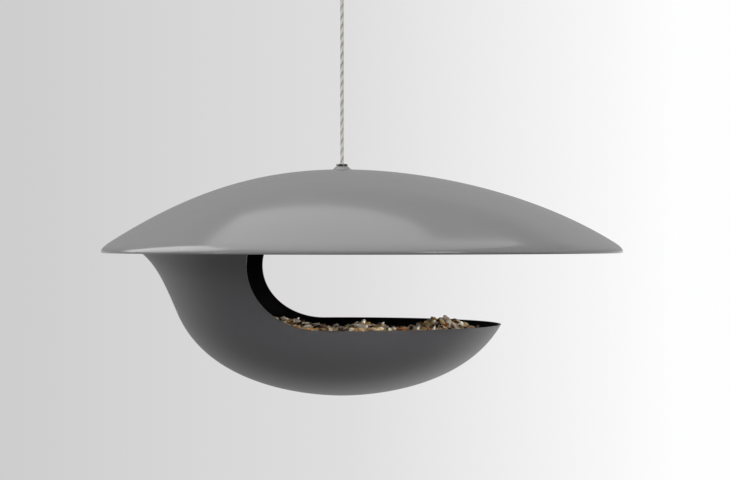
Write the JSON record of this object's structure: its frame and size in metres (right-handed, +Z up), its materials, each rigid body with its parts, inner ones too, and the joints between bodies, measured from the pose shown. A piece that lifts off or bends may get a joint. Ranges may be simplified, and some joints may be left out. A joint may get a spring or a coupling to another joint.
{
  "type": "hanging bird feeder",
  "caption": "Hanging bird feeder: a round dome roof on a twisted cord, over a seed bowl with a flared rear wall and an open slot in front and at both sides.",
  "frame": {"origin": "where the hook rests on what it hangs from, on the line of the cord", "axes": "+Z up along the taut cord, +X towards the open front of the feeder, +Y across it"},
  "size_m": [0.44, 0.44, 0.4319],
  "materials": {
    "roof_plastic": "satin",
    "body_plastic": "matte",
    "seed": "matte",
    "steel": "satin",
    "brass": "satin",
    "rubber": "matte",
    "nylon": "satin",
    "twine": "matte"
  },
  "bodies": {
    "hook": {"hanging_hook": "steel"},
    "hanging_cord": {"cord": "twine", "cord_eye": "steel"},
    "cord_end": {"cord_tail": "twine", "cord_stop": "steel", "swivel_washer": "nylon"},
    "feeder": {"roof_shell": "roof_plastic", "body_shell": "body_plastic", "seed_fill": "seed", "cord_grommet": "rubber", "load_washer": "steel", "hub_bush": "brass", "flange_screw_1": "steel", "flange_screw_2": "steel", "flange_screw_3": "steel", "flange_screw_4": "steel", "flange_screw_5": "steel", "flange_washer_1": "steel", "flange_washer_2": "steel", "flange_washer_3": "steel", "flange_washer_4": "steel", "flange_washer_5": "steel", "thread_insert_1": "brass", "thread_insert_2": "brass", "thread_insert_3": "brass", "thread_insert_4": "brass", "thread_insert_5": "brass"}
  },
  "joints": [
    {"name": "cord_swing", "type": "hinge", "parent": "hook", "child": "hanging_cord", "pos_m": [0, 0, -0.05675], "axis": [0, 1, 0], "range_deg": [-45, 45]},
    {"name": "feeder_tilt", "type": "hinge", "parent": "hanging_cord", "child": "cord_end", "pos_m": [0, 0, -0.231], "axis": [0, 1, 0], "range_deg": [-30, 30]},
    {"name": "feeder_swivel", "type": "hinge", "parent": "cord_end", "child": "feeder", "pos_m": [0, 0, -0.25], "axis": [0, 0, 1], "continuous": true}
  ]
}
